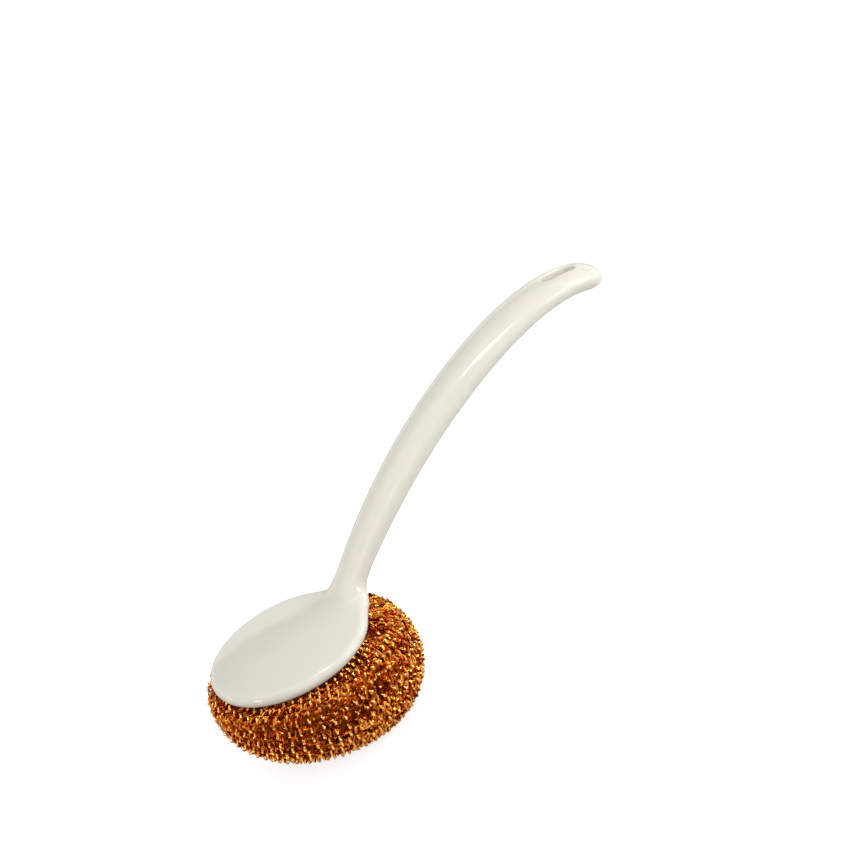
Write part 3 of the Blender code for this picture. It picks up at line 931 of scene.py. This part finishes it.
def room(strength):
    """A world that is white to the camera and gives even light of a strength."""
    made = bpy.data.worlds.new("room")
    made.use_nodes = True
    tree = made.node_tree
    seen = add(tree, "ShaderNodeLightPath").outputs["Is Camera Ray"]
    level = add(tree, "ShaderNodeMath", {0: seen, 1: strength}, operation="MAXIMUM")
    fill(tree.nodes["Background"], {"Color": (1, 1, 1, 1), "Strength": level.outputs[0]})
    return made


# Operators and panel

class SCRUBBER_OT_handle(bpy.types.Operator):
    """Make the one-piece handle: stem, hang slot, domed head and socket"""
    bl_idname = "scrubber.handle"
    bl_label = "Handle"

    def execute(self, context):
        chosen = context.scene.scrubber.handle
        surface = plastic("cream_plastic", chosen.colour, chosen.roughness)
        step = chosen.step * 1.0
        low = np.array(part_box("handle")[0]) - 2 * step
        high = np.array(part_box("handle")[1]) + 2 * step
        points, quads = skin(handle_field, low, high, step)
        made = piece("plastic_handle", points, quads.tolist(), surface, smooth_angle=60)
        carried(made, "handle", "cream_plastic", "handle")
        return {"FINISHED"}


class SCRUBBER_OT_scourer(bpy.types.Operator):
    """Make the ring of knitted wire: three layers of stitches, the deeper ones darkened as painted shade, and
    a core painted dark as shade
    """
    bl_idname = "scrubber.scourer"
    bl_label = "Scourer"

    def execute(self, context):
        chosen = context.scene.scrubber.scourer
        deep = chosen.deep_colour
        wales, rows, tube = chosen.wales, chosen.rows, chosen.tube_radius
        wire = (chosen.wire_width, chosen.wire_thickness)
        metal = wire_metal("golden_wire", chosen.colour, deep, chosen.bead_highlight_colour)
        # Painted shade: the middle layer, the inner layer and the core get ever darker copies of the wire's
        # colour, for how deep they lie in the knit.
        middle_shade_metal = wire_metal("middle_wire", scaled_colour(chosen.colour, 0.85), deep, chosen.colour, rough=0.2)
        inner_shade_metal = wire_metal("inner_wire", deep, scaled_colour(deep, 0.7), deep, rough=0.3)
        core_shade_metal = wire_metal("deep_wire", scaled_colour(deep, 0.5), scaled_colour(deep, 0.3), deep, rough=0.4)
        made = knitted("knitted_wire", ring_surface(tube), wales, rows, wire, metal,
                       samples=24, seed=7, disorder=chosen.disorder, pieces=4)
        made += knitted("middle_wire", ring_surface(tube, MIDDLE_DEPTH), wales, rows, wire, middle_shade_metal,
                        samples=14, seed=9, disorder=1.4, shift=0.5, sink=MIDDLE_SINK, pieces=2)
        made += knitted("inner_wire", ring_surface(tube, INNER_DEPTH), wales, rows - 4, wire, inner_shade_metal,
                        samples=16, seed=8, disorder=1.5, inside_out=True, pieces=2)
        # The core closes the ring with a dark sheet: painted shade where deeper wire would lie in shadow.
        core = ring_surface(tube, CORE_DEPTH, around=144, across=120)[0]
        made.append(closed_core("wire_core", core, core_shade_metal))
        for part in made:
            carried(part, "refill", "golden_wire")
        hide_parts("scourer")
        return {"FINISHED"}


class SCRUBBER_OT_retainer(bpy.types.Operator):
    """Make the retainer: disc, conical hub and snap stem"""
    bl_idname = "scrubber.retainer"
    bl_label = "Retainer"

    def execute(self, context):
        chosen = context.scene.scrubber.retainer
        look = context.scene.scrubber.handle
        surface = plastic("retainer_plastic", look.colour, look.roughness)
        outline = retainer_outline(chosen.plug_top, chosen.dish_depth)
        made = turned("plastic_retainer", outline, RETAINER_STEPS, surface)
        carried(made, "refill", "retainer_plastic", "retainer")
        return {"FINISHED"}


class SCRUBBER_OT_stage(bpy.types.Operator):
    """Set up the white floor, the room light (white to the camera), the lamps and the camera"""
    bl_idname = "scrubber.stage"
    bl_label = "Stage"

    def execute(self, context):
        chosen = context.scene.scrubber.stage
        context.scene.view_settings.view_transform = "Standard"
        context.scene.world = room(chosen.world_level)
        photo_camera(chosen.camera_distance)
        sweep("floor", floor_surface(chosen.floor_colour))
        for name, heading, height, distance, wide, long in LAMPS:
            power = getattr(chosen, f"{name}_power")
            lamp(f"{name}_lamp", heading, height, distance, (wide, long), power)
        for number, (heading, height, wide, tall, level) in enumerate(BOXES):
            power = chosen.box_level * level * math.pi * wide * tall
            lamp(f"side_box_{number + 1}", heading, height, BOX_DISTANCE, (wide, tall), power)
        return {"FINISHED"}


class SCRUBBER_PT_panel(bpy.types.Panel):
    """Sidebar panel with the settings and the operators"""
    bl_idname = "SCRUBBER_PT_panel"
    bl_label = "Scrubber"
    bl_space_type = "VIEW_3D"
    bl_region_type = "UI"
    bl_category = "Scrubber"

    def draw(self, context):
        settings = context.scene.scrubber
        for group in ("handle", "scourer", "retainer", "stage"):
            box = self.layout.box()
            chosen = getattr(settings, group)
            for name in chosen.__annotations__:
                box.prop(chosen, name)
            box.operator(f"scrubber.{group}")


CLASSES = (HandleSettings, ScourerSettings, RetainerSettings, StageSettings, ScrubberSettings,
           SCRUBBER_OT_handle, SCRUBBER_OT_scourer, SCRUBBER_OT_retainer, SCRUBBER_OT_stage,
           SCRUBBER_PT_panel)


def register():
    """Make the settings, operators and panel known to Blender."""
    for cls in CLASSES:
        bpy.utils.register_class(cls)
    bpy.types.Scene.scrubber = PointerProperty(type=ScrubberSettings)


def unregister():
    """Take the settings, operators and panel out again."""
    del bpy.types.Scene.scrubber
    for cls in reversed(CLASSES):
        bpy.utils.unregister_class(cls)


def main():
    """Make the stage and every piece."""
    register()
    bpy.ops.scrubber.stage()
    bpy.ops.scrubber.retainer()
    bpy.ops.scrubber.scourer()
    bpy.ops.scrubber.handle()


if __name__ == "__main__":
    main()
